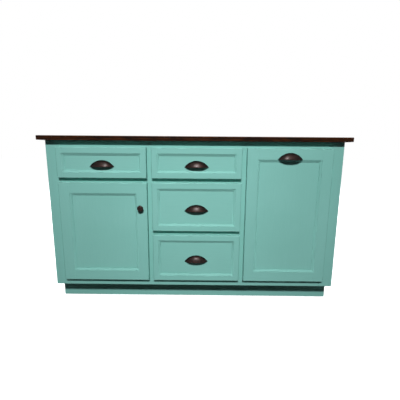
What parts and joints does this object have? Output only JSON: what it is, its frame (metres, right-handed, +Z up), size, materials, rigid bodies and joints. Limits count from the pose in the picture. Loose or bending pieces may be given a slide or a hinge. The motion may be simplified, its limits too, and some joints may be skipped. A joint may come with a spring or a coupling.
{
  "type": "kitchen island unit",
  "caption": "Painted free-standing kitchen island: wooden counter on a face-frame cabinet with a hinged door, drawers on telescopic slides and a tall pull-out bin carrier.",
  "frame": {"origin": "on the floor, under the middle of the whole unit's box, with its counter and its handles", "axes": "+X to the right along the fronts, +Y from the fronts to the back, +Z up"},
  "size_m": [1.561, 0.6842, 0.898],
  "materials": {
    "painted_wood": "satin teal paint",
    "stained_wood": "dark stained, satin lacquer",
    "birch_ply": "clear lacquered",
    "dark_bronze": "oil-rubbed dark bronze",
    "zinc_steel": "zinc plated",
    "nickel_steel": "nickel plated",
    "bin_plastic": "moulded, fine texture"
  },
  "bodies": {
    "cabinet": {"countertop": "stained_wood", "counter_screws": "zinc_steel", "end_panels": "painted_wood", "partitions": "birch_ply", "cabinet_bottom": "birch_ply", "back_panel": "painted_wood", "top_stretchers": "birch_ply", "face_frame": "painted_wood", "toe_kick_board": "painted_wood", "shelf": "birch_ply", "shelf_pins": "nickel_steel", "slide_spacers": "birch_ply", "outer_slides": "zinc_steel", "hinge_arms": "nickel_steel"},
    "door": {"door_frame": "painted_wood", "door_panel": "painted_wood", "door_knob": "dark_bronze", "hinge_cups": "nickel_steel"},
    "bin_carrier": {"bin_carrier_front_frame": "painted_wood", "bin_carrier_front_panel": "painted_wood", "bin_carrier_tray_walls": "birch_ply", "bin_carrier_tray_bottom": "birch_ply", "bin_carrier_brackets": "zinc_steel", "bins": "bin_plastic", "bin_carrier_cup_pull": "dark_bronze", "bin_carrier_pull_screws": "zinc_steel", "bin_carrier_inner_slides": "zinc_steel"},
    "bin_carrier_middle_slides": {"bin_carrier_middle_slides": "zinc_steel"},
    "top_left_drawer": {"top_left_drawer_front_frame": "painted_wood", "top_left_drawer_front_panel": "painted_wood", "top_left_drawer_box_walls": "birch_ply", "top_left_drawer_box_bottom": "birch_ply", "top_left_drawer_cup_pull": "dark_bronze", "top_left_drawer_pull_screws": "zinc_steel", "top_left_drawer_inner_slides": "zinc_steel"},
    "top_left_drawer_middle_slides": {"top_left_drawer_middle_slides": "zinc_steel"},
    "top_middle_drawer": {"top_middle_drawer_front_frame": "painted_wood", "top_middle_drawer_front_panel": "painted_wood", "top_middle_drawer_box_walls": "birch_ply", "top_middle_drawer_box_bottom": "birch_ply", "top_middle_drawer_cup_pull": "dark_bronze", "top_middle_drawer_pull_screws": "zinc_steel", "top_middle_drawer_inner_slides": "zinc_steel"},
    "top_middle_drawer_middle_slides": {"top_middle_drawer_middle_slides": "zinc_steel"},
    "middle_drawer": {"middle_drawer_front_frame": "painted_wood", "middle_drawer_front_panel": "painted_wood", "middle_drawer_box_walls": "birch_ply", "middle_drawer_box_bottom": "birch_ply", "middle_drawer_cup_pull": "dark_bronze", "middle_drawer_pull_screws": "zinc_steel", "middle_drawer_inner_slides": "zinc_steel"},
    "middle_drawer_middle_slides": {"middle_drawer_middle_slides": "zinc_steel"},
    "bottom_drawer": {"bottom_drawer_front_frame": "painted_wood", "bottom_drawer_front_panel": "painted_wood", "bottom_drawer_box_walls": "birch_ply", "bottom_drawer_box_bottom": "birch_ply", "bottom_drawer_cup_pull": "dark_bronze", "bottom_drawer_pull_screws": "zinc_steel", "bottom_drawer_inner_slides": "zinc_steel"},
    "bottom_drawer_middle_slides": {"bottom_drawer_middle_slides": "zinc_steel"}
  },
  "joints": [
    {"name": "door_hinge", "type": "hinge", "parent": "cabinet", "child": "door", "pos_m": [-0.68517, -0.3091, 0.402], "axis": [0, 0, -1], "range_deg": [0, 95]},
    {"name": "top_left_drawer_slide", "type": "slide", "parent": "cabinet", "child": "top_left_drawer", "axis": [0, -1, 0], "range_m": [0, 0.44]},
    {"name": "top_left_drawer_middle_slide", "type": "slide", "parent": "cabinet", "child": "top_left_drawer_middle_slides", "axis": [0, -1, 0], "range_m": [0, 0.22]},
    {"name": "top_middle_drawer_slide", "type": "slide", "parent": "cabinet", "child": "top_middle_drawer", "axis": [0, -1, 0], "range_m": [0, 0.44]},
    {"name": "top_middle_drawer_middle_slide", "type": "slide", "parent": "cabinet", "child": "top_middle_drawer_middle_slides", "axis": [0, -1, 0], "range_m": [0, 0.22]},
    {"name": "middle_drawer_slide", "type": "slide", "parent": "cabinet", "child": "middle_drawer", "axis": [0, -1, 0], "range_m": [0, 0.44]},
    {"name": "middle_drawer_middle_slide", "type": "slide", "parent": "cabinet", "child": "middle_drawer_middle_slides", "axis": [0, -1, 0], "range_m": [0, 0.22]},
    {"name": "bottom_drawer_slide", "type": "slide", "parent": "cabinet", "child": "bottom_drawer", "axis": [0, -1, 0], "range_m": [0, 0.44]},
    {"name": "bottom_drawer_middle_slide", "type": "slide", "parent": "cabinet", "child": "bottom_drawer_middle_slides", "axis": [0, -1, 0], "range_m": [0, 0.22]},
    {"name": "bin_carrier_slide", "type": "slide", "parent": "cabinet", "child": "bin_carrier", "axis": [0, -1, 0], "range_m": [0, 0.44]},
    {"name": "bin_carrier_middle_slide", "type": "slide", "parent": "cabinet", "child": "bin_carrier_middle_slides", "axis": [0, -1, 0], "range_m": [0, 0.22]}
  ],
  "couplings": [
    {"joint": "top_left_drawer_middle_slide", "follows": "top_left_drawer_slide", "ratio": 0.5},
    {"joint": "top_middle_drawer_middle_slide", "follows": "top_middle_drawer_slide", "ratio": 0.5},
    {"joint": "middle_drawer_middle_slide", "follows": "middle_drawer_slide", "ratio": 0.5},
    {"joint": "bottom_drawer_middle_slide", "follows": "bottom_drawer_slide", "ratio": 0.5},
    {"joint": "bin_carrier_middle_slide", "follows": "bin_carrier_slide", "ratio": 0.5}
  ]
}
